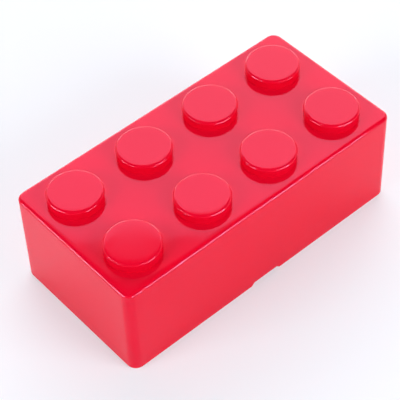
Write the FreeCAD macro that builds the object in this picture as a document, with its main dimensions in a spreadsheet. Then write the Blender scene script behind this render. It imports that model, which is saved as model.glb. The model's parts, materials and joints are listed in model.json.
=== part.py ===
"""Storage box shaped like a building block with two rows of four studs.

The box is two injection moulded shells of polypropylene. The cover is the whole outer block: a deck with
eight hollow studs and four walls that reach the table. The tray stands inside it and is what holds things.
The cover lifts straight up off the tray. The tray's floor is raised over a recess, which takes the studs of
a second box when boxes are stacked.

Millimetres, X along the long side, Y across, Z up. The origin is the middle of the footprint, on the table.
"""
import FreeCAD, Part
import math
import os
import Sketcher
from FreeCAD import Vector

SIZES = [
    ("studs_along", 4, "studs in a row along the box"),
    ("studs_across", 2, "rows of studs"),
    ("stud_pitch", 46.0, "stud centre to stud centre; the box is a whole number of these"),
    ("stud_radius", 15.1, "outside of a stud"),
    ("stud_rise", 5.7, "stud top over the deck"),
    ("stud_rim", 1.4, "round of a stud's upper rim, made as two bevels"),
    ("stud_skin", 2.0, "side and top thickness of a hollow stud"),
    ("deck_level", 60.6, "deck over the table"),
    ("deck_skin", 2.0, "deck thickness"),
    ("wall_skin", 2.0, "thickness of the cover's walls"),
    ("cover_corner", 5.8, "upright corners of the cover, outside"),
    ("cover_draft", 0.2, "degrees that the cover's walls lean in towards the deck"),
    ("deck_edge", 1.9, "round between deck and walls, outside"),
    ("ceiling_edge", 0.8, "bevel between deck and walls, inside"),
    ("hem_edge", 1.4, "round of the lower edge of the cover's walls, outside"),
    ("notch_foot", 20.4, "length of a finger notch at the table"),
    ("notch_crown", 16.4, "length of a finger notch at its top"),
    ("notch_rise", 1.9, "top of a finger notch over the table"),
    ("notch_round", 1.0, "round of a finger notch's upper corners"),
    ("fit_gap", 0.5, "free space between the tray's rim and the cover's walls"),
    ("rim_level", 54.0, "tray rim over the table"),
    ("tray_skin", 1.6, "thickness of the tray's walls"),
    ("tray_corner", 5.0, "upright corners of the tray, outside"),
    ("tray_draft", 0.5, "degrees that the tray's walls lean out towards the rim"),
    ("floor_skin", 1.8, "thickness of the tray's floor"),
    ("floor_edge", 2.4, "round between the tray's floor and walls"),
    ("rim_edge", 0.4, "bevel of the tray's rim and foot"),
    ("stack_depth", 6.4, "recess under the tray, deeper than a stud is high"),
    ("stack_gap", 0.25, "free space between a locating rib and a stud of the box below"),
    ("rib_skin", 1.6, "thickness of a locating rib"),
    ("rib_lift", 0.6, "locating ribs stop this far over the table"),
    ("rib_lead", 0.6, "chamfer that leads a stud in between the locating ribs"),
    ("overlap", 1.0, "how far a cut starts outside its solid and a pad starts inside it"),
]

CLOSE = 0.01  # how near an edge must be to the place where it is looked for
EVEN = -1.0  # a gap in a pattern that keeps the pattern's own spacing

BOX_LENGTH = "(Sizes.stud_pitch * Sizes.studs_along)"
BOX_WIDTH = "(Sizes.stud_pitch * Sizes.studs_across)"
FIRST_STUD_X = "(-Sizes.stud_pitch * (Sizes.studs_along - 1) / 2)"
FIRST_STUD_Y = "(-Sizes.stud_pitch * (Sizes.studs_across - 1) / 2)"
CEILING = "(Sizes.deck_level - Sizes.deck_skin)"
# The tray's rim keeps the fit gap to the inside of the leaning walls at its own height.
RIM_INSET = "(Sizes.wall_skin + Sizes.fit_gap + Sizes.rim_level * tan(Sizes.cover_draft))"
FOOT_INSET = f"({RIM_INSET} + Sizes.rim_level * tan(Sizes.tray_draft))"
# The locating ribs reach in from the tray's foot to where the outermost studs of a box below would be.
RIB_FACE_X = "(Sizes.stud_pitch * (Sizes.studs_along - 1) / 2 + Sizes.stud_radius + Sizes.stack_gap)"
RIB_FACE_Y = "(Sizes.stud_pitch * (Sizes.studs_across - 1) / 2 + Sizes.stud_radius + Sizes.stack_gap)"
RIB_ROOT_X = f"({BOX_LENGTH} / 2 - {FOOT_INSET} - Sizes.tray_skin / 2)"
RIB_ROOT_Y = f"({BOX_WIDTH} / 2 - {FOOT_INSET} - Sizes.tray_skin / 2)"


def make_sheet(doc):
    """Puts the driving dimensions into a sheet, one to a row: name, value, what it is."""
    sheet = doc.addObject("Spreadsheet::Sheet", "Sizes")
    for row, (name, value, note) in enumerate(SIZES, start=1):
        sheet.set(f"A{row}", name)
        sheet.set(f"B{row}", str(value))
        sheet.set(f"C{row}", note)
        sheet.setAlias(f"B{row}", name)
    doc.recompute()


def new_body(doc, label):
    body = doc.addObject("PartDesign::Body", label)
    body.Label = label
    return body


def own_origin(body, role):
    return next(item for item in body.Origin.OriginFeatures if item.Role == role)


def number(item, formula):
    """The value that a formula over the sheet has now."""
    value = item.evalExpression(formula)
    return float(getattr(value, "Value", value))


def hold(sketch, name, formula, kind, *where):
    """Adds a dimension to a sketch and binds it to a formula."""
    index = sketch.addConstraint(Sketcher.Constraint(kind, *where, number(sketch, formula)))
    sketch.renameConstraint(index, name)
    sketch.setExpression(f"Constraints.{name}", formula)


def hold_point(sketch, name, formulas, *where):
    for kind, formula in zip(("DistanceX", "DistanceY"), formulas):
        hold(sketch, name + kind[-1], formula, kind, -1, 1, *where)


def draw(body, name, corners, plane="XY_Plane", shift=None):
    """Draws a closed outline on one of the body's own planes, anticlockwise, from formulas.

    A corner is its two coordinates and the radius of its round, or None for a sharp one. A rounded corner
    keeps a point where its two sides would meet, and an arc that touches both sides. The plane is shifted
    by formulas along the sketch's own axes.
    """
    sketch = body.newObject("Sketcher::SketchObject", name)
    sketch.AttachmentSupport = [(own_origin(body, plane), "")]
    sketch.MapMode = "FlatFace"
    for axis, formula in (shift or {}).items():
        sketch.setExpression(f"AttachmentOffset.Base.{axis}", formula)

    count = len(corners)
    points = [Vector(number(sketch, x), number(sketch, y), 0) for x, y, _ in corners]
    touches = []
    arcs = []
    for index, point in enumerate(points):
        back = (points[index - 1] - point).normalize()
        ahead = (points[(index + 1) % count] - point).normalize()
        radius = number(sketch, corners[index][2] or "0")
        half_angle = back.getAngle(ahead) / 2
        reach = radius / math.tan(half_angle)
        touches.append((point + back * reach, point + ahead * reach))
        centre = point + (back + ahead).normalize() * (radius / math.sin(half_angle))
        arcs.append((centre, radius, back.cross(ahead).z < 0))

    for index in range(count):
        start, end = touches[index][1], touches[(index + 1) % count][0]
        sketch.addGeometry(Part.LineSegment(start, end))
    for index, (x, y, radius_formula) in enumerate(corners):
        before, after = (index - 1) % count, index
        if radius_formula is None:
            sketch.addConstraint(Sketcher.Constraint("Coincident", before, 2, after, 1))
            hold_point(sketch, f"corner{index}", (x, y), after, 1)
            continue
        centre, radius, convex = arcs[index]
        ends = touches[index] if convex else touches[index][::-1]
        angles = [math.atan2(end.y - centre.y, end.x - centre.x) for end in ends]
        circle = Part.Circle(centre, Vector(0, 0, 1), radius)
        arc = sketch.addGeometry(Part.ArcOfCircle(circle, *angles))
        meeting = sketch.addGeometry(Part.Point(points[index]), True)
        first, last = (1, 2) if convex else (2, 1)
        sketch.addConstraint(Sketcher.Constraint("Tangent", before, 2, arc, first))
        sketch.addConstraint(Sketcher.Constraint("Tangent", arc, last, after, 1))
        sketch.addConstraint(Sketcher.Constraint("PointOnObject", meeting, 1, before))
        sketch.addConstraint(Sketcher.Constraint("PointOnObject", meeting, 1, after))
        hold_point(sketch, f"corner{index}", (x, y), meeting, 1)
        hold(sketch, f"round{index}", radius_formula, "Radius", arc)
    body.Document.recompute()
    return sketch


def rectangle(length, width, radius=None):
    """The corners of a rectangle about the origin."""
    x, y = f"{length} / 2", f"{width} / 2"
    return [(f"-{x}", f"-{y}", radius), (x, f"-{y}", radius), (x, y, radius), (f"-{x}", y, radius)]


def span(low_x, high_x, low_y, high_y):
    """The sharp corners of a rectangle between four limits."""
    return [(low_x, low_y, None), (high_x, low_y, None), (high_x, high_y, None), (low_x, high_y, None)]


def extrude(body, kind, sketch, length, draft="0", upwards=True):
    """A Pad or a Pocket. It gets narrower by the draft, in degrees, as it leaves the sketch."""
    feature = body.newObject(f"PartDesign::{kind}", f"{sketch.Name}{kind}")
    feature.Profile = sketch
    feature.setExpression("Length", length)
    feature.setExpression("TaperAngle", f"-1 * {draft}")
    feature.Reversed = upwards == (kind == "Pocket")
    body.Document.recompute()
    return feature


def cut_both_ways(body, sketch):
    feature = body.newObject("PartDesign::Pocket", f"{sketch.Name}Pocket")
    feature.Profile = sketch
    feature.Type = "ThroughAll"
    feature.Midplane = True
    body.Document.recompute()
    return feature


def spin(body, kind, sketch):
    """A Revolution or a Groove of a half profile about the sketch's upright axis."""
    feature = body.newObject(f"PartDesign::{kind}", f"{sketch.Name}{kind}")
    feature.Profile = sketch
    feature.ReferenceAxis = (sketch, ["V_Axis"])
    feature.Angle = 360
    body.Document.recompute()
    return feature


def repeat(body, name, originals, along, across):
    """Repeats features in a grid from its low corner. A direction is a spacing and a number of them."""
    pattern = body.newObject("PartDesign::LinearPattern", name)
    pattern.Originals = originals
    for suffix, role, (spacing, occurrences) in (("", "X_Axis", along), ("2", "Y_Axis", across)):
        setattr(pattern, f"Direction{suffix}", (own_origin(body, role), [""]))
        setattr(pattern, f"Mode{suffix}", "Spacing")
        pattern.setExpression(f"Offset{suffix}", spacing)
        pattern.setExpression(f"Occurrences{suffix}", occurrences)
        gaps = round(number(pattern, occurrences)) - 1
        setattr(pattern, f"Spacings{suffix}", [EVEN] * gaps)
    body.Tip = pattern
    body.Document.recompute()
    return pattern


def dress(body, kind, name, size, wanted):
    """A Fillet or a Chamfer on the edges of the body so far that pass a test."""
    base = body.Tip
    edges = [f"Edge{index}" for index, edge in enumerate(base.Shape.Edges, start=1) if wanted(edge)]
    feature = body.newObject(f"PartDesign::{kind}", name)
    feature.Base = (base, edges)
    feature.setExpression("Radius" if kind == "Fillet" else "Size", size)
    body.Document.recompute()
    return feature


def edges_at(item, formula, also=lambda middle: True):
    """A test for edges that lie flat at the height of a formula, and whose middle passes a second test."""
    level = number(item, formula)

    def wanted(edge):
        box = edge.BoundBox
        return abs(box.ZMin - level) < CLOSE and abs(box.ZMax - level) < CLOSE and also(box.Center)

    return wanted


def make_cover(doc):
    """The outer block: drafted walls, a deck with hollow studs, and a finger notch low in each long wall."""
    body = new_body(doc, "brick_cover")
    footprint = draw(body, "Footprint", rectangle(BOX_LENGTH, BOX_WIDTH, "Sizes.cover_corner"))
    extrude(body, "Pad", footprint, "Sizes.deck_level", "Sizes.cover_draft")
    dress(body, "Fillet", "DeckEdge", "Sizes.deck_edge", edges_at(footprint, "Sizes.deck_level"))
    dress(body, "Fillet", "Hem", "Sizes.hem_edge", edges_at(footprint, "0"))
    hollow_sides = [f"({side} - 2 * Sizes.wall_skin)" for side in (BOX_LENGTH, BOX_WIDTH)]
    hollow = draw(body, "Hollow", rectangle(*hollow_sides, "Sizes.cover_corner - Sizes.wall_skin"))
    extrude(body, "Pocket", hollow, CEILING, "Sizes.cover_draft")
    dress(body, "Chamfer", "CeilingEdge", "Sizes.ceiling_edge", edges_at(hollow, CEILING))

    notch_foot, notch_crown = "Sizes.notch_foot / 2", "Sizes.notch_crown / 2"
    notch = [
        (f"-{notch_foot}", "-Sizes.overlap", None),
        (notch_foot, "-Sizes.overlap", None),
        (notch_foot, "0", None),
        (notch_crown, "Sizes.notch_rise", "Sizes.notch_round"),
        (f"-{notch_crown}", "Sizes.notch_rise", "Sizes.notch_round"),
        (f"-{notch_foot}", "0", None),
    ]
    cut_both_ways(body, draw(body, "FingerNotch", notch, "XZ_Plane"))

    # The first stud stands at the low corner of the grid, and is turned about its own axis. Its rim turns
    # from upright to flat in two bevels, which meet where a round would be at 45 degrees.
    stud_axis = {"x": FIRST_STUD_X, "y": "Sizes.deck_level", "z": f"-{FIRST_STUD_Y}"}
    rim_middle = "Sizes.stud_rim * (1 - cos(45))"
    stud_profile = [
        ("0", "-Sizes.overlap", None),
        ("Sizes.stud_radius", "-Sizes.overlap", None),
        ("Sizes.stud_radius", "Sizes.stud_rise - Sizes.stud_rim", None),
        (f"Sizes.stud_radius - {rim_middle}", f"Sizes.stud_rise - {rim_middle}", None),
        ("Sizes.stud_radius - Sizes.stud_rim", "Sizes.stud_rise", None),
        ("0", "Sizes.stud_rise", None),
    ]
    core_radius = "Sizes.stud_radius - Sizes.stud_skin"
    core_top = "Sizes.stud_rise - Sizes.stud_skin"
    core_profile = [
        ("0", "-Sizes.deck_skin - Sizes.overlap", None),
        (core_radius, "-Sizes.deck_skin - Sizes.overlap", None),
        (core_radius, core_top, None),
        ("0", core_top, None),
    ]
    stud = spin(body, "Revolution", draw(body, "Stud", stud_profile, "XZ_Plane", stud_axis))
    core = spin(body, "Groove", draw(body, "StudCore", core_profile, "XZ_Plane", stud_axis))
    along = ("Sizes.stud_pitch", "Sizes.studs_along")
    across = ("Sizes.stud_pitch", "Sizes.studs_across")
    repeat(body, "StudGrid", [stud, core], along, across)
    return body


def make_tray(doc):
    """The inner box: walls that lean out to the rim, and a floor raised over the stacking recess."""
    body = new_body(doc, "storage_tray")
    rim = {"z": "Sizes.rim_level"}
    rim_sides = [f"({side} - 2 * {RIM_INSET})" for side in (BOX_LENGTH, BOX_WIDTH)]
    outline = draw(body, "Rim", rectangle(*rim_sides, "Sizes.tray_corner"), shift=rim)
    extrude(body, "Pad", outline, "Sizes.rim_level", "Sizes.tray_draft", upwards=False)

    cavity_sides = [f"({side} - 2 * Sizes.tray_skin)" for side in rim_sides]
    cavity_corner = "Sizes.tray_corner - Sizes.tray_skin"
    cavity = draw(body, "Cavity", rectangle(*cavity_sides, cavity_corner), shift=rim)
    cavity_depth = "Sizes.rim_level - Sizes.stack_depth - Sizes.floor_skin"
    extrude(body, "Pocket", cavity, cavity_depth, "Sizes.tray_draft", upwards=False)

    recess_sides = [f"({side} - 2 * ({FOOT_INSET} + Sizes.tray_skin))" for side in (BOX_LENGTH, BOX_WIDTH)]
    recess = draw(body, "StackRecess", rectangle(*recess_sides, cavity_corner))
    extrude(body, "Pocket", recess, "Sizes.stack_depth", "Sizes.tray_draft")
    floor_level = "Sizes.stack_depth + Sizes.floor_skin"
    dress(body, "Fillet", "FloorEdge", "Sizes.floor_edge", edges_at(recess, floor_level))
    dress(body, "Chamfer", "RimEdge", "Sizes.rim_edge", edges_at(recess, "Sizes.rim_level"))
    dress(body, "Chamfer", "FootEdge", "Sizes.rim_edge", edges_at(recess, "0"))

    # Ribs under the floor hold the outermost studs of the box below, two to a stud at the corners.
    half_rib = "Sizes.rib_skin / 2"
    rib_height = "Sizes.stack_depth - Sizes.rib_lift + Sizes.overlap"
    lift = {"z": "Sizes.rib_lift"}
    side_rib = draw(body, "SideRib", span(
        f"{FIRST_STUD_X} - {half_rib}", f"{FIRST_STUD_X} + {half_rib}", f"-{RIB_ROOT_Y}", f"-{RIB_FACE_Y}",
    ), shift=lift)
    side_pad = extrude(body, "Pad", side_rib, rib_height)
    across = (f"{RIB_ROOT_Y} + {RIB_FACE_Y}", "2")
    repeat(body, "SideRibs", [side_pad], ("Sizes.stud_pitch", "Sizes.studs_along"), across)
    end_rib = draw(body, "EndRib", span(
        f"-{RIB_ROOT_X}", f"-{RIB_FACE_X}", f"{FIRST_STUD_Y} - {half_rib}", f"{FIRST_STUD_Y} + {half_rib}",
    ), shift=lift)
    end_pad = extrude(body, "Pad", end_rib, rib_height)
    along = (f"{RIB_ROOT_X} + {RIB_FACE_X}", "2")
    repeat(body, "EndRibs", [end_pad], along, ("Sizes.stud_pitch", "Sizes.studs_across"))
    reach_x, reach_y = number(recess, RIB_FACE_X), number(recess, RIB_FACE_Y)

    def faces_a_stud(middle):
        return abs(abs(middle.x) - reach_x) < CLOSE or abs(abs(middle.y) - reach_y) < CLOSE

    dress(body, "Chamfer", "RibLead", "Sizes.rib_lead", edges_at(recess, "Sizes.rib_lift", faces_a_stud))
    return body


def check(doc, bodies):
    """Stops at a failed feature, a loose sketch, or a sub-part that is not one valid solid."""
    for item in doc.Objects:
        if {"Invalid", "Error"} & set(item.State):
            raise RuntimeError(f"{item.Name} failed: {item.State}")
        if item.TypeId == "Sketcher::SketchObject" and not item.FullyConstrained:
            raise RuntimeError(f"{item.Name} is not fully constrained")
    for body in bodies:
        shape = body.Shape
        if shape.isNull() or not shape.isValid() or len(shape.Solids) != 1:
            raise RuntimeError(f"{body.Label} is not one valid solid")
        box = shape.optimalBoundingBox()
        size = " x ".join(f"{side:.2f}" for side in (box.XLength, box.YLength, box.ZLength))
        print(f"{body.Label}: {size} mm, {shape.Volume / 1000:.1f} cm3, {len(shape.Faces)} faces")
    gap = bodies[0].Shape.distToShape(bodies[1].Shape)[0]
    print(f"least gap between the shells: {gap:.3f} mm")


def main():
    doc = FreeCAD.newDocument("BlockBox")
    make_sheet(doc)
    bodies = [make_cover(doc), make_tray(doc)]
    doc.recompute()
    check(doc, bodies)
    os.makedirs("parts", exist_ok=True)
    for body in bodies:
        body.Shape.exportStep(f"parts/{body.Label}.step")


main()
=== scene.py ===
import json
import math

import bpy
import numpy as np
from mathutils import Matrix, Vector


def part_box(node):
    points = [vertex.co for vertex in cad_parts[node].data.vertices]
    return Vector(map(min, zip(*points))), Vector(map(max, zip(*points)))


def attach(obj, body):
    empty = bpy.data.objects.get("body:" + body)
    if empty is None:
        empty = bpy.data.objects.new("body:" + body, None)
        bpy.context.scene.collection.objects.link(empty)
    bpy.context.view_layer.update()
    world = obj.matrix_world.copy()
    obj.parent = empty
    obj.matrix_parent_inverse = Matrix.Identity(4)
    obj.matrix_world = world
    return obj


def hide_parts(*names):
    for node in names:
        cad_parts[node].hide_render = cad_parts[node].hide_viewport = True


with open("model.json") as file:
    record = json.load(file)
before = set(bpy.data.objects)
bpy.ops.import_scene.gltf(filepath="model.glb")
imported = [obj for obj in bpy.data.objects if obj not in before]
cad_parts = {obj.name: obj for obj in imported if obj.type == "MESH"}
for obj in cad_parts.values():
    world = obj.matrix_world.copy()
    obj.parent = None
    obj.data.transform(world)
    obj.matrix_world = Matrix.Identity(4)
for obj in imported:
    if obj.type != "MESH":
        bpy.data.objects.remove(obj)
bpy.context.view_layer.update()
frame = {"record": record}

bl_info = {
    "name": "Building-block storage box",
    "version": (1, 0, 0),
    "blender": (4, 5, 0),
    "location": "View3D > Sidebar > Block Box",
    "description": "A storage box shaped like a building block: a studded cover over an open tray",
    "category": "Object",
}

MM = 0.001
PHOTO_SIDE = 400    # pixels
SENSOR = 36.0       # millimetres

# The lamps: the first four stand beside the camera, and the last two behind the object. Turn is the azimuth
# from the camera's bearing and rise the elevation, in degrees; away, wide and tall are in metres; level names
# the studio setting with the radiance. A lamp lights what scatters light, or only the gloss, or both. The
# glints stand low, where few other views mirror them in the deck.
LAMPS = (
    # name         turn   rise  away  wide  tall  level         scatter  gloss
    ("lamp_left",   -57,   30,   1.2,  0.56, 0.45, "side_lamp",  True,  False),
    ("lamp_right",   57,   30,   1.2,  0.66, 0.45, "side_lamp",  True,  False),
    ("glint_left",  -62.5, 12,   1.2,  1.05, 0.2,  "glint",      False, True),
    ("glint_right",  48.5, 12,   1.2,  1.08, 0.2,  "glint",      False, True),
    ("lamp_low",    180,   12,   1.9,  2.4,  0.25, "low_lamp",   True,  True),
    ("lamp_back",   180,   36.5, 1.75, 2.4,  1.0,  "back_lamp",  True,  True),
)


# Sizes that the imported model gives

studs = [mount for mount in frame["record"]["mounts"] if mount["kind"] == "pin"]
stud_columns = sorted({round(mount["pos_m"][0] / MM, 3) for mount in studs})
stud_rows = sorted({round(mount["pos_m"][1] / MM, 3) for mount in studs})
stud_wall = studs[0]["dims"]["length_mm"]
deck_level = studs[0]["pos_m"][2] / MM - stud_wall / 2
cover_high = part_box("brick_cover")[1] / MM
tray_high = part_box("storage_tray")[1] / MM


# Surfaces from numpy

def rounded(corners, steps=6, run=4.0):
    """A chain of points along a polyline whose corners are (a, b, radius).

    A round of radius r at a corner of opening angle w starts r / tan(w / 2) from it on both sides, and its
    points turn about a centre r / sin(w / 2) away, on the line that halves the angle. A corner that hardly
    turns stays one point. A straight run gets points no more than the run length apart.
    """
    hardly = 0.499 * np.pi
    spots = np.array([corner[:2] for corner in corners], float)
    pieces = [spots[:1]]
    for before, spot, after, (_, _, radius) in zip(spots, spots[1:], spots[2:], corners[1:]):
        back = (before - spot) / np.linalg.norm(before - spot)
        ahead = (after - spot) / np.linalg.norm(after - spot)
        half = np.arccos(np.clip(back @ ahead, -1, 1)) / 2
        if radius == 0 or half > hardly:
            pieces.append(spot[None])
            continue
        middle = (back + ahead) / np.linalg.norm(back + ahead)
        centre = spot + middle * radius / np.sin(half)
        start = spot + back * radius / np.tan(half) - centre
        end = spot + ahead * radius / np.tan(half) - centre
        sweep = np.arctan2(start[0] * end[1] - start[1] * end[0], start @ end)
        turn = np.linspace(0, sweep, steps + 1)[:, None]
        side = np.array([-start[1], start[0]])
        pieces.append(centre + np.cos(turn) * start + np.sin(turn) * side)
    pieces.append(spots[-1:])
    chain = [pieces[0]]
    for piece in pieces[1:]:
        last, first = chain[-1][-1], piece[0]
        count = max(1, math.ceil(np.linalg.norm(first - last) / run))
        share = np.linspace(0, 1, count + 1)[1:-1, None]
        chain += [last + (first - last) * share, piece]
    return np.concatenate(chain)


def quarter_path(half_length, half_width, corner, along_x, along_y, arc_steps=10):
    """Feet and outward directions along a quarter of a rounded rectangle.

    It runs from the middle of the long side at y < 0, round the corner, to the middle of the end at x > 0.
    The outline itself is foot + corner radius * direction: the feet stay on the rectangle of the corner
    centres, and only at a corner does the direction turn, evenly, about one foot.
    """
    centre_x, centre_y = half_length - corner, half_width - corner
    turn = np.linspace(-math.pi / 2, 0, arc_steps + 1)[1:-1]
    feet = np.concatenate([
        np.stack([along_x, np.full_like(along_x, -centre_y)], 1),
        np.tile([centre_x, -centre_y], (len(turn), 1)),
        np.stack([np.full_like(along_y, centre_x), along_y], 1),
    ])
    directions = np.concatenate([
        np.tile([0.0, -1.0], (len(along_x), 1)),
        np.stack([np.cos(turn), np.sin(turn)], 1),
        np.tile([1.0, 0.0], (len(along_y), 1)),
    ])
    return feet, directions


def carry(feet, directions, corner, inset, height):
    """A profile carried along a path.

    The point of row j at station i is foot i + direction i * (corner radius - inset ji), at height ji. An
    inset over the corner radius would fold the surface over at the corner.
    """
    reach = (corner - inset)[..., None]
    flat = feet + directions * reach
    return np.concatenate([flat, height[..., None]], -1)


def straight(start, end, step):
    """Points along a straight line, at most a step apart, with both of its ends."""
    start, end = np.array(start, float), np.array(end, float)
    count = max(1, math.ceil(np.linalg.norm(end - start) / step))
    return start + (end - start) * np.linspace(0, 1, count + 1)[:, None]


def cell_loops(edge, limits, step=2.0):
    """A closed loop round each stud's cell in the quarter, anticlockwise.

    It goes from the middle line to the deck's edge at the cell's left limit, along the edge to its right
    limit, and back. The last cell has no right limit, and its edge goes round the corner to the middle line.
    """
    hair = 1e-6
    loops = []
    for left, right in zip(limits, limits[1:]):
        outer = edge[(edge[:, 0] > left - hair) & (edge[:, 0] < right + hair)]
        down = straight((left, 0), outer[0], step)
        up = straight(outer[-1], (outer[-1][0], 0), step)
        back = straight((outer[-1][0], 0), (left, 0), step)
        loops.append(np.concatenate([down[:-1], outer[:-1], up[:-1], back[:-1]]))
    return loops


def lathe_in_cell(loop, centre, profile, rings=3, crowding=0.7):
    """The ground round a stud and the stud itself, as one grid over a closed loop.

    Each point of the loop keeps its own bearing from the stud's axis. The first rings go in a straight line
    from the loop to the profile's first radius, ring k at the share (k / rings) ^ crowding of the way, and
    then row j is a circle of the profile's radius j at its height j.
    """
    spoke = loop[:, :2] - centre
    bearing = spoke / np.linalg.norm(spoke, axis=1, keepdims=True)
    first_radius, level = profile[0]
    share = np.linspace(0, 1, rings + 1)[:-1, None, None] ** crowding
    ground = loop[None, :, :2] + (centre + bearing * first_radius - loop[:, :2]) * share
    circles = centre + bearing * profile[:, 0][:, None, None]
    flat = np.concatenate([ground, circles])
    height = np.concatenate([np.full(rings, level), profile[:, 1]])
    height = np.broadcast_to(height[:, None, None], flat.shape[:2] + (1,))
    return np.concatenate([flat, height], -1)


def to_spine(ring, half_spine, steps=5):
    """A flat field from a quarter's ring in to the middle line.

    A point of the ring goes in a straight line, in even steps, to the nearest point of the middle line's
    inner stretch, which ends as far from the ends as the sides are from the line.
    """
    foot = np.stack([np.clip(ring[:, 0], 0, half_spine), 0 * ring[:, 1], ring[:, 2]], 1)
    share = np.linspace(0, 1, steps + 1)[:, None, None]
    return ring + (foot - ring) * share


def sheet_faces(rows, columns, first, closed):
    """Four-cornered faces between the points of a grid. A closed grid joins its last column to its first."""
    row = np.arange(rows - 1)[:, None] * columns + first
    column = np.arange(columns if closed else columns - 1)[None]
    ahead = (column + 1) % columns
    above = row + columns
    return np.stack([row + column, row + ahead, above + ahead, above + column], -1).reshape(-1, 4)


def mirrored_four(sheets):
    """A quarter at x > 0, y < 0 copied to all four. In a copy that is mirrored once, the faces turn over."""
    copies = []
    for sign_x, sign_y in ((1, 1), (-1, 1), (-1, -1), (1, -1)):
        for points, closed, flipped in sheets:
            copies.append((points * [sign_x, sign_y, 1], closed, flipped != (sign_x * sign_y < 0)))
    return copies


def make_mesh(name, sheets, sharp_from=40, places=4):
    """Joins grids to one mesh, in metres.

    Points that lie at one place, to so many decimal places of a millimetre, become one point. A face with two
    corners at one place becomes a triangle, and one with fewer than three places left is dropped. Edges that
    turn by more than sharp_from degrees are shaded sharp.
    """
    points, faces, first = [], [], 0
    for grid, closed, flipped in sheets:
        rows, columns = grid.shape[:2]
        made = sheet_faces(rows, columns, first, closed)
        faces.append(made[:, ::-1] if flipped else made)
        points.append(grid.reshape(-1, 3))
        first += rows * columns
    points, faces = np.concatenate(points), np.concatenate(faces)
    _, kept, number = np.unique(np.round(points, places), axis=0, return_index=True, return_inverse=True)
    faces = number.reshape(-1)[faces]
    same = faces == np.roll(faces, -1, axis=1)
    whole = faces[~same.any(1)]
    once = same.sum(1) == 1
    triangles = faces[once][~same[once]].reshape(-1, 3)
    mesh = bpy.data.meshes.new(name)
    mesh.from_pydata(points[kept] * MM, [], whole.tolist() + triangles.tolist())
    mesh.update()
    mesh.polygons.foreach_set("use_smooth", np.ones(len(mesh.polygons), bool))
    mesh.set_sharp_from_angle(angle=math.radians(sharp_from))
    mesh.update()
    return mesh


def show(name, mesh, body, node, material):
    """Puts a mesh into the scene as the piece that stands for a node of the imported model."""
    piece = bpy.data.objects.new(name, mesh)
    bpy.context.scene.collection.objects.link(piece)
    mesh.materials.append(material)
    normals = piece.modifiers.new("even_shading", "WEIGHTED_NORMAL")
    normals.keep_sharp = True
    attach(piece, body)
    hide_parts(node)
    return piece


# Materials

def linear(colour):
    """An sRGB hex value as linear red, green, blue and alpha."""
    parts = [int(colour[place:place + 2], 16) / 255 for place in (1, 3, 5)]
    return [part / 12.92 if part <= 0.04045 else ((part + 0.055) / 1.055) ** 2.4 for part in parts] + [1.0]


def add_node(tree, kind, inputs=None, **settings):
    """Adds a node with its settings. Each named input gets a value, or the socket that feeds it."""
    node = tree.nodes.new(kind)
    for name, value in settings.items():
        setattr(node, name, value)
    for name, value in (inputs or {}).items():
        if isinstance(value, bpy.types.NodeSocket):
            tree.links.new(value, node.inputs[name])
        else:
            node.inputs[name].default_value = value
    return node


def new_material(name):
    """A material with an empty node tree."""
    material = bpy.data.materials.new(name)
    material.use_nodes = True
    material.node_tree.nodes.clear()
    return material


def moulded_polypropylene(name, colour, deep_colour, gloss, matt, waviness):
    """Polypropylene, pigmented and injection moulded in a polished tool.

    The pigment is even, a shade deeper where the melt flowed slowly, so the colour hardly drifts over a
    hand's width. The skin copies the tool's polish, with patches that are a little duller. It shrinks as it
    cools, and the waves that this leaves, a few hundredths of a millimetre high, bend the reflections.
    Polypropylene has an IOR of 1.49. The photo's skin mirrors less, and what it mirrors has a pink tinge.
    """
    flow_mm, patch_mm, wave_mm = 70, 15, 25
    ior, tinge = 1.32, (1.0, 0.53, 1.0, 1.0)
    material = new_material(name)
    tree = material.node_tree
    place = add_node(tree, "ShaderNodeTexCoord").outputs["Object"]
    flow = add_node(tree, "ShaderNodeTexNoise", {
        "Vector": place, "Scale": 1 / (flow_mm * MM), "Detail": 2.0,
    })
    pigment = add_node(tree, "ShaderNodeMix", {
        "Factor": flow.outputs["Fac"], "A": linear(colour), "B": linear(deep_colour),
    }, data_type="RGBA")
    polish = add_node(tree, "ShaderNodeTexNoise", {
        "Vector": place, "Scale": 1 / (patch_mm * MM), "Detail": 3.0,
    })
    roughness = add_node(tree, "ShaderNodeMapRange", {
        "Value": polish.outputs["Fac"], "From Min": 0.35, "From Max": 0.7, "To Min": gloss, "To Max": matt,
    })
    waves = add_node(tree, "ShaderNodeTexNoise", {
        "Vector": place, "Scale": 1 / (wave_mm * MM), "Detail": 1.0,
    })
    skin = add_node(tree, "ShaderNodeBump", {
        "Height": waves.outputs["Fac"], "Strength": 1.0, "Distance": waviness * MM,
    })
    shader = add_node(tree, "ShaderNodeBsdfPrincipled", {
        "Base Color": pigment.outputs["Result"], "Roughness": roughness.outputs["Result"],
        "IOR": ior, "Specular Tint": tinge, "Normal": skin.outputs["Normal"],
    })
    add_node(tree, "ShaderNodeOutputMaterial", {"Surface": shader.outputs["BSDF"]})
    return material


def background_share(tree, seen, mirrored):
    """How much of a background surface a ray takes as plain background.

    It is the seen share for camera and transmission rays, the mirrored share for glossy rays, and 0 for the
    rays that light the object: the sum of each kind of ray, as 0 or 1, times its share.
    """
    light_path = add_node(tree, "ShaderNodeLightPath")
    share = 0.0
    for ray, part in (("Is Camera Ray", seen), ("Is Transmission Ray", seen), ("Is Glossy Ray", mirrored)):
        share = add_node(tree, "ShaderNodeMath", {0: light_path.outputs[ray], 1: part, 2: share},
                         operation="MULTIPLY_ADD").outputs["Value"]
    return share


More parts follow.
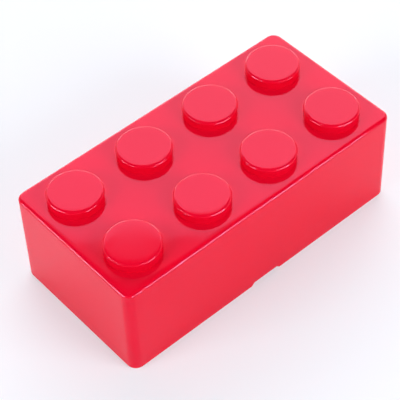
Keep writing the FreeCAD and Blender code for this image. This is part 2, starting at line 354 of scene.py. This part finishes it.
def studio_white(name, colour, seen, mirrored):
    """White studio paper, uncoated, so it scatters light evenly and has no gloss.

    It is mixed with plain background white, by the share that the ray takes as background.
    """
    material = new_material(name)
    tree = material.node_tree
    paper = add_node(tree, "ShaderNodeBsdfDiffuse", {"Color": linear(colour)})
    white = add_node(tree, "ShaderNodeEmission", {"Color": linear(colour), "Strength": 1.0})
    mixed = add_node(tree, "ShaderNodeMixShader", {
        0: background_share(tree, seen, mirrored), 1: paper.outputs["BSDF"], 2: white.outputs["Emission"],
    })
    add_node(tree, "ShaderNodeOutputMaterial", {"Surface": mixed.outputs["Shader"]})
    return material


# Settings

class BlockBoxShape(bpy.types.PropertyGroup):
    """Sizes of the two shells, in millimetres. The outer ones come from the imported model."""

    length: bpy.props.FloatProperty(
        name="Length", description="Outside of the cover along the rows of studs", default=2 * cover_high[0])
    width: bpy.props.FloatProperty(
        name="Width", description="Outside of the cover across the rows of studs", default=2 * cover_high[1])
    deck: bpy.props.FloatProperty(
        name="Deck level", description="Top of the deck over the table", default=deck_level)
    corner: bpy.props.FloatProperty(
        name="Corner radius", description="Upright corners of the cover, outside", default=5.8)
    wall: bpy.props.FloatProperty(
        name="Wall", description="Thickness of the cover's walls and deck", default=2.0)
    draft: bpy.props.FloatProperty(
        name="Draft", description="Degrees that the cover's walls lean in towards the deck", default=0.2)
    deck_round: bpy.props.FloatProperty(
        name="Deck edge", description="Round between the deck and the walls", default=1.9)
    ceiling_round: bpy.props.FloatProperty(
        name="Ceiling edge", description="Round between the deck and the walls, inside", default=1.0)
    hem_round: bpy.props.FloatProperty(
        name="Hem", description="Round of the lower edge of the cover's walls, outside", default=1.4)
    lip_round: bpy.props.FloatProperty(
        name="Lips", description="Round of the thin edges of both shells", default=0.3)
    core_foot: bpy.props.FloatProperty(
        name="Core foot", description="Round where a stud's hollow core meets the ceiling", default=0.4)
    core_round: bpy.props.FloatProperty(
        name="Core top", description="Round at the top of a stud's hollow core", default=0.8)
    stud_radius: bpy.props.FloatProperty(
        name="Stud radius", description="Outside of a stud", default=studs[0]["dims"]["r_mm"])
    stud_top: bpy.props.FloatProperty(
        name="Stud top", description="Top of the studs over the table", default=cover_high[2])
    stud_round: bpy.props.FloatProperty(
        name="Stud rim", description="Round of a stud's upper rim", default=1.4)
    notch_foot: bpy.props.FloatProperty(
        name="Notch foot", description="Length of a finger notch at the table", default=20.4)
    notch_crown: bpy.props.FloatProperty(
        name="Notch crown", description="Length of a finger notch at its top", default=16.4)
    notch_rise: bpy.props.FloatProperty(
        name="Notch rise", description="Top of a finger notch over the table", default=1.9)
    notch_round: bpy.props.FloatProperty(
        name="Notch round", description="Round of a finger notch's upper corners", default=1.0)
    notch_heel: bpy.props.FloatProperty(
        name="Notch heel", description="Round of a finger notch's lower corners", default=0.5)
    tray_wall: bpy.props.FloatProperty(
        name="Tray wall", description="Thickness of the tray's walls", default=1.6)
    tray_corner: bpy.props.FloatProperty(
        name="Tray corner", description="Upright corners of the tray at its rim, outside", default=5.0)
    tray_draft: bpy.props.FloatProperty(
        name="Tray draft", description="Degrees that the tray's walls lean out towards the rim", default=0.5)
    floor_under: bpy.props.FloatProperty(
        name="Recess", description="Depth of the stacking recess under the tray's floor", default=6.4)
    floor_top: bpy.props.FloatProperty(
        name="Tray floor", description="Top of the tray's floor over the table", default=8.2)
    floor_round: bpy.props.FloatProperty(
        name="Floor edge", description="Round between the tray's floor and walls", default=2.4)
    rib: bpy.props.FloatProperty(
        name="Rib", description="Thickness of a locating rib", default=1.6)
    rib_gap: bpy.props.FloatProperty(
        name="Rib gap", description="Free space between a locating rib and a stud below", default=0.25)
    rib_lift: bpy.props.FloatProperty(
        name="Rib lift", description="Lower end of a locating rib over the table", default=0.6)
    rib_lead: bpy.props.FloatProperty(
        name="Rib lead", description="Chamfer at a locating rib's lower end", default=0.6)


class BlockBoxFinish(bpy.types.PropertyGroup):
    """Colours and polish of the plastic."""

    red: bpy.props.StringProperty(
        name="Red", description="Colour of the plastic, as a hex value", default="#EB092D")
    deep_red: bpy.props.StringProperty(
        name="Deep red", description="Colour where the melt flowed slowly, as a hex value", default="#E20628")
    gloss: bpy.props.FloatProperty(
        name="Gloss", description="Roughness of the best polished patches", default=0.05,
        min=0.0, max=1.0, subtype="FACTOR")
    matt: bpy.props.FloatProperty(
        name="Matt", description="Roughness of the dullest patches", default=0.09,
        min=0.0, max=1.0, subtype="FACTOR")
    tray_dulling: bpy.props.FloatProperty(
        name="Tray dulling", description="How much rougher the tray is than the cover", default=0.1,
        min=0.0, max=1.0, subtype="FACTOR")
    waviness: bpy.props.FloatProperty(
        name="Waviness", description="Height of the waves in the skin, in millimetres", default=0.03)


class BlockBoxStudio(bpy.types.PropertyGroup):
    """Floor, lamps and camera. Lengths are in millimetres and angles in degrees."""

    paper: bpy.props.StringProperty(
        name="Paper", description="Colour of the floor, as a hex value", default="#F6F9FE")
    seen: bpy.props.FloatProperty(
        name="Plain white", description="Share of the floor's look that is plain white", default=0.4,
        min=0.0, max=1.0, subtype="FACTOR")
    mirrored: bpy.props.FloatProperty(
        name="Plain white in gloss", description="The same share where the gloss mirrors the floor",
        default=0.05, min=0.0, max=1.0, subtype="FACTOR")
    sky: bpy.props.FloatProperty(
        name="Sky", description="Strength of the even light from all round", default=0.28)
    sky_colour: bpy.props.StringProperty(
        name="Sky colour", description="Colour of the even light, as a hex value", default="#F4F4FF")
    side_lamp: bpy.props.FloatProperty(
        name="Side lamps", description="Radiance of the two soft lamps beside the camera, without gloss",
        default=8.8)
    glint: bpy.props.FloatProperty(
        name="Glints", description="Radiance of the two lamps beside the camera that only the gloss shows",
        default=41.0)
    low_lamp: bpy.props.FloatProperty(
        name="Low lamp", description="Radiance of the low strip behind the object", default=9.5)
    back_lamp: bpy.props.FloatProperty(
        name="Back lamp", description="Radiance of the wide lamp behind the object", default=2.7)
    dark: bpy.props.FloatProperty(
        name="Dark room", description="Radiance of the unlit room, which only the gloss shows", default=0.03)
    bearing: bpy.props.FloatProperty(
        name="Camera bearing", description="Azimuth that the camera looks from", default=-39.50)
    rise: bpy.props.FloatProperty(
        name="Camera elevation", description="Elevation that the camera looks from", default=48.547)
    roll: bpy.props.FloatProperty(
        name="Camera roll", description="Turn of the camera about its own axis", default=-2.563)
    distance: bpy.props.FloatProperty(
        name="Camera distance", description="Camera to target", default=834.3)
    target: bpy.props.FloatVectorProperty(
        name="Target", description="Point on the table that the camera's frame is centred on",
        default=(10.75, 19.98, 0.0), subtype="XYZ")
    focal: bpy.props.FloatProperty(
        name="Focal length", description="Focal length, in pixels of the photograph", default=1478.1,
        subtype="PIXEL")


# Operators

def stations(limit, marks, step):
    """Places from 0 to a limit, evenly about a step apart, with the marks that lie between added."""
    even = np.linspace(0, limit, math.ceil(limit / step) + 1)
    return np.unique(np.round(np.concatenate([even, [mark for mark in marks if 0 < mark < limit]]), 6))


class BLOCKBOX_OT_cover(bpy.types.Operator):
    """Make the outer block: walls, deck, studs and finger notches"""

    bl_idname = "blockbox.cover"
    bl_label = "Make the cover"

    def execute(self, context):
        shape, finish = context.scene.block_box_shape, context.scene.block_box_finish
        lean = math.tan(math.radians(shape.draft))
        top, ceiling = shape.deck, shape.deck - shape.wall

        # The wall's profile, as inset from the footprint and height, from the deck by the hem to the ceiling.
        top_inset, ceiling_inset = top * lean, shape.wall + ceiling * lean
        profile = rounded([
            (top_inset + 2 * shape.deck_round, top, 0), (top_inset, top, shape.deck_round),
            (0, 0, shape.hem_round), (shape.wall, 0, shape.lip_round),
            (ceiling_inset, ceiling, shape.ceiling_round),
            (ceiling_inset + 2 * shape.ceiling_round, ceiling, 0),
        ])

        # A finger notch lifts the hem: its outline is height over length, and the lift fades out up the wall.
        beyond, fading = 5.0, 6.0
        foot, crown = shape.notch_foot / 2, shape.notch_crown / 2
        notch = rounded([
            (0, shape.notch_rise, 0), (crown, shape.notch_rise, shape.notch_round),
            (foot, 0, shape.notch_heel), (foot + beyond, 0, 0),
        ], run=2.0)
        pitch = stud_columns[1] - stud_columns[0]
        limits = [0.0, pitch, math.inf]
        along_x = stations(shape.length / 2 - shape.corner, [*notch[:, 0], *limits], 1.6)
        along_y = -stations(shape.width / 2 - shape.corner, [], 1.6)[::-1]
        feet, directions = quarter_path(
            shape.length / 2, shape.width / 2, shape.corner, along_x, along_y)
        on_long_side = directions[:, 1] == -1
        lift = np.where(on_long_side, np.interp(feet[:, 0], notch[:, 0], notch[:, 1]), 0)
        inset, height = profile.T[:, :, None]
        fade = np.clip(1 - (height - shape.hem_round) / (fading * shape.notch_rise), 0, 1)
        raised = height + lift * fade
        wall = carry(feet, directions, shape.corner, inset + (raised - height) * lean, raised)
        sheets = [(wall, False, True)]

        # The studs stand on the deck, and their hollow cores in the ceiling, each in its cell of the quarter.
        stud = rounded([
            (shape.stud_radius, top, 0), (shape.stud_radius, shape.stud_top, shape.stud_round),
            (0, shape.stud_top, 0),
        ])
        core_radius, core_top = shape.stud_radius - shape.wall, shape.stud_top - shape.wall
        core = rounded([
            (core_radius + 1, ceiling, 0), (core_radius, ceiling, shape.core_foot),
            (core_radius, core_top, shape.core_round), (0, core_top, 0),
        ])
        columns = [column for column in stud_columns if column > 0]
        for edge, turned, flipped in ((wall[0], stud, False), (wall[-1], core, True)):
            for column, loop in zip(columns, cell_loops(edge[:, :2], limits)):
                centre = np.array([column, stud_rows[0]])
                sheets.append((lathe_in_cell(loop, centre, turned), True, flipped))

        mesh = make_mesh("brick_cover_shell", mirrored_four(sheets))
        material = moulded_polypropylene(
            "polished_polypropylene", finish.red, finish.deep_red, finish.gloss, finish.matt, finish.waviness)
        show("cover_shell", mesh, "cover", "brick_cover", material)
        return {"FINISHED"}


class BLOCKBOX_OT_tray(bpy.types.Operator):
    """Make the inner box: walls, raised floor, and the ribs in the recess under it"""

    bl_idname = "blockbox.tray"
    bl_label = "Make the tray"

    def execute(self, context):
        shape, finish = context.scene.block_box_shape, context.scene.block_box_finish
        half_length, half_width, rim = tray_high
        lean = math.tan(math.radians(shape.tray_draft))
        skin, lip, deepest = shape.tray_wall, shape.lip_round, shape.tray_corner
        foot_inset = rim * lean
        floor_inset = skin + (rim - shape.floor_top) * lean

        # The profile from the floor over the rim to the foot.
        upper = rounded([
            (deepest, shape.floor_top, 0), (floor_inset, shape.floor_top, shape.floor_round),
            (skin, rim, lip), (0, rim, lip), (foot_inset, 0, lip), (foot_inset + skin, 0, lip),
            (foot_inset + skin, 2 * lip, 0),
        ])

        # From there to the recess's ceiling, once plain and once out over a rib, with as many points.
        root = foot_inset + skin
        face = half_width - (stud_rows[-1] + shape.stud_radius + shape.rib_gap)
        low, lead, high = shape.rib_lift, shape.rib_lead, shape.floor_under
        plain = np.array([(root, level) for level in (1.2, 2.0, 3.0, 4.5, high)] + [(deepest, high)])
        ribbed = np.array([
            (root + 0.1, low), (root + 0.5, low), (face - lead, low), (face, low + lead), (face, high),
            (deepest, high),
        ])
        plain_rows = np.concatenate([upper, plain])
        rib_rows = np.concatenate([upper, ribbed])

        # Each side of a rib has two stations, a hair apart: the outer one plain, the inner one on the rib.
        half_rib, beside = shape.rib / 2, 0.02
        sides = (-half_rib - beside, -half_rib, half_rib, half_rib + beside)
        marks_x = [column + side for column in stud_columns for side in sides]
        marks_y = [-stud_rows[0] + side for side in sides]
        along_x = stations(half_length - shape.tray_corner, marks_x, 2.5)
        along_y = -stations(half_width - shape.tray_corner, marks_y, 2.5)[::-1]
        feet, directions = quarter_path(half_length, half_width, shape.tray_corner, along_x, along_y)
        from_stud_x = np.abs(feet[:, 0][:, None] - np.array(stud_columns)).min(1)
        from_stud_y = np.abs(feet[:, 1][:, None] - np.array(stud_rows)).min(1)
        offset = np.where(directions[:, 1] == -1, from_stud_x, from_stud_y)
        at_corner = np.abs(directions).max(1) < 1
        on_rib = (offset < half_rib + beside / 2) & ~at_corner
        rows = plain_rows[:, None] + (rib_rows - plain_rows)[:, None] * on_rib[:, None]
        wall = carry(feet, directions, shape.tray_corner, rows[..., 0], rows[..., 1])
        sheets = [(wall, False, True)]
        for ring, flipped in ((wall[0], False), (wall[-1], True)):
            sheets.append((to_spine(ring, half_length - half_width), False, flipped))

        mesh = make_mesh("storage_tray_shell", mirrored_four(sheets))
        material = moulded_polypropylene(
            "satin_polypropylene", finish.red, finish.deep_red, finish.gloss + finish.tray_dulling,
            finish.matt + finish.tray_dulling, finish.waviness)
        show("tray_shell", mesh, "tray", "storage_tray", material)
        return {"FINISHED"}


class BLOCKBOX_OT_studio(bpy.types.Operator):
    """Make the floor, the lamps, the world and the camera"""

    bl_idname = "blockbox.studio"
    bl_label = "Make the studio"

    def execute(self, context):
        studio = context.scene.block_box_studio
        scene = context.scene
        scene.view_settings.view_transform = "Standard"
        bearing = math.radians(studio.bearing)

        # The floor is a flat sheet, a hair below the table plane.
        reach, drop, points = 4.0, 0.2 * MM, 3
        side = np.linspace(-reach, reach, points)
        across, along = np.meshgrid(side, side)
        grid = np.stack([across, along, np.full_like(across, -drop)], -1).reshape(-1, 3)
        paper = bpy.data.meshes.new("studio_floor")
        paper.from_pydata(grid, [], sheet_faces(points, points, 0, False).tolist())
        floor = bpy.data.objects.new("studio_floor", paper)
        paper.materials.append(studio_white("studio_paper", studio.paper, studio.seen, studio.mirrored))
        scene.collection.objects.link(floor)

        # The world is white where a ray sees it, and a softer light where it lights the object.
        world = bpy.data.worlds.new("studio")
        scene.world = world
        world.use_nodes = True
        tree = world.node_tree
        tree.nodes.clear()
        background = background_share(tree, 1.0, 1.0)
        strength = add_node(tree, "ShaderNodeMapRange", {
            "Value": background, "To Min": studio.sky, "To Max": 1.0,
        })
        colour = add_node(tree, "ShaderNodeMix", {
            "Factor": background, "A": linear(studio.sky_colour), "B": (1, 1, 1, 1),
        }, data_type="RGBA")
        white = add_node(tree, "ShaderNodeBackground", {
            "Color": colour.outputs["Result"], "Strength": strength.outputs["Result"],
        })
        add_node(tree, "ShaderNodeOutputWorld", {"Surface": white.outputs["Background"]})

        self.dark_room(scene, bearing, studio.dark)
        for name, turn, rise, away, wide, tall, level, scatter, gloss in LAMPS:
            azimuth, rise = bearing + math.radians(turn), math.radians(rise)
            lamp = self.lamp(scene, name, azimuth, rise, away, wide, tall, getattr(studio, level))
            lamp.visible_diffuse, lamp.visible_glossy = scatter, gloss

        # The camera looks back along its bearing and elevation at the target, then rolls.
        rise, roll = math.radians(studio.rise), math.radians(studio.roll)
        back, right = self.outward(bearing, rise), self.sideways(bearing)
        up = np.cross(back, right)
        rolled_right = math.cos(roll) * right + math.sin(roll) * up
        rolled_up = math.cos(roll) * up - math.sin(roll) * right
        place = (np.array(studio.target) + back * studio.distance) * MM
        camera = bpy.data.objects.new("camera", bpy.data.cameras.new("camera"))
        scene.collection.objects.link(camera)
        camera.data.sensor_width = SENSOR
        camera.data.lens = studio.focal * SENSOR / PHOTO_SIDE
        camera.data.clip_start, camera.data.clip_end = 0.05, 20
        camera.matrix_world = self.pose(rolled_right, rolled_up, back, place)
        scene.camera = camera
        return {"FINISHED"}

    def outward(self, bearing, rise):
        """The direction from the object at an azimuth and an elevation.

        It is (sin b cos r, -cos b cos r, sin r), so azimuth 0 is the front, at y < 0.
        """
        flat = math.cos(rise)
        return np.array([math.sin(bearing) * flat, -math.cos(bearing) * flat, math.sin(rise)])

    def sideways(self, bearing):
        """The level direction to the right of one who looks at the object from an azimuth."""
        return np.array([math.cos(bearing), math.sin(bearing), 0])

    def pose(self, right, up, back, place):
        """The matrix whose columns are an object's own three axes and its place."""
        return Matrix(np.column_stack([[*right, 0], [*up, 0], [*back, 0], [*place, 1]]).tolist())

    def lamp(self, scene, name, bearing, rise, away, wide, tall, radiance):
        """A rectangular soft lamp that faces the object. Its power is radiance times pi times its area."""
        back, right = self.outward(bearing, rise), self.sideways(bearing)
        light = bpy.data.lights.new(name, "AREA")
        light.shape, light.size, light.size_y = "RECTANGLE", wide, tall
        light.energy = radiance * math.pi * wide * tall
        lamp = bpy.data.objects.new(name, light)
        scene.collection.objects.link(lamp)
        lamp.matrix_world = self.pose(right, np.cross(back, right), back, back * away)
        return lamp

    def dark_room(self, scene, bearing, radiance):
        """The unlit room behind the camera and over the lamps, which only the gloss shows.

        It is a flat ceiling, from in front of the back lamp to behind the camera, and a round wall behind the
        camera, whose points are a radius away at even steps of azimuth. Lengths are in metres.
        """
        foot, height, radius, turn, steps = 0.1, 1.5, 2.5, 100, 20
        front, rear, half_width = 1.07, -4.0, 3.0
        ahead, right = -self.outward(bearing, 0), self.sideways(bearing)
        ceiling = [ahead * along + right * across + np.array([0, 0, height])
                   for along, across in ((front, -half_width), (front, half_width),
                                         (rear, half_width), (rear, -half_width))]
        turns = bearing + np.radians(np.linspace(-turn, turn, steps + 1))
        ring = np.stack([np.sin(turns), -np.cos(turns)], -1) * radius
        wall = [np.column_stack([ring, np.full(len(ring), level)]) for level in (foot, height)]
        mesh = bpy.data.meshes.new("studio_dark")
        mesh.from_pydata(np.concatenate([*wall, ceiling]).tolist(), [], [
            *sheet_faces(2, len(ring), 0, False).tolist(), [2 * len(ring) + corner for corner in range(4)],
        ])
        panel = bpy.data.objects.new("studio_dark", mesh)
        material = new_material("dark_room")
        tree = material.node_tree
        grey = add_node(tree, "ShaderNodeEmission", {"Color": (1, 1, 1, 1), "Strength": radiance})
        add_node(tree, "ShaderNodeOutputMaterial", {"Surface": grey.outputs["Emission"]})
        mesh.materials.append(material)
        scene.collection.objects.link(panel)
        panel.visible_camera = panel.visible_diffuse = panel.visible_shadow = False


class BLOCKBOX_PT_panel(bpy.types.Panel):
    """Lists the settings and the operators that make the pieces"""

    bl_idname = "BLOCKBOX_PT_panel"
    bl_label = "Block box"
    bl_space_type = "VIEW_3D"
    bl_region_type = "UI"
    bl_category = "Block Box"

    def draw(self, context):
        for group in (context.scene.block_box_shape, context.scene.block_box_finish,
                      context.scene.block_box_studio):
            column = self.layout.column(align=True)
            for name in group.__annotations__:
                column.prop(group, name)
        for operator in OPERATORS:
            self.layout.operator(operator.bl_idname)


GROUPS = {
    "block_box_shape": BlockBoxShape,
    "block_box_finish": BlockBoxFinish,
    "block_box_studio": BlockBoxStudio,
}
OPERATORS = (BLOCKBOX_OT_cover, BLOCKBOX_OT_tray, BLOCKBOX_OT_studio)


def register():
    """Registers the classes, with the settings as pointers on the scene."""
    for name, group in GROUPS.items():
        bpy.utils.register_class(group)
        setattr(bpy.types.Scene, name, bpy.props.PointerProperty(type=group))
    for kind in (*OPERATORS, BLOCKBOX_PT_panel):
        bpy.utils.register_class(kind)


def unregister():
    """Takes back what register did, in reverse."""
    for kind in (BLOCKBOX_PT_panel, *reversed(OPERATORS)):
        bpy.utils.unregister_class(kind)
    for name, group in reversed(GROUPS.items()):
        delattr(bpy.types.Scene, name)
        bpy.utils.unregister_class(group)


def main():
    """Builds the pieces and the studio."""
    register()
    bpy.ops.blockbox.cover()
    bpy.ops.blockbox.tray()
    bpy.ops.blockbox.studio()


if __name__ == "__main__":
    main()
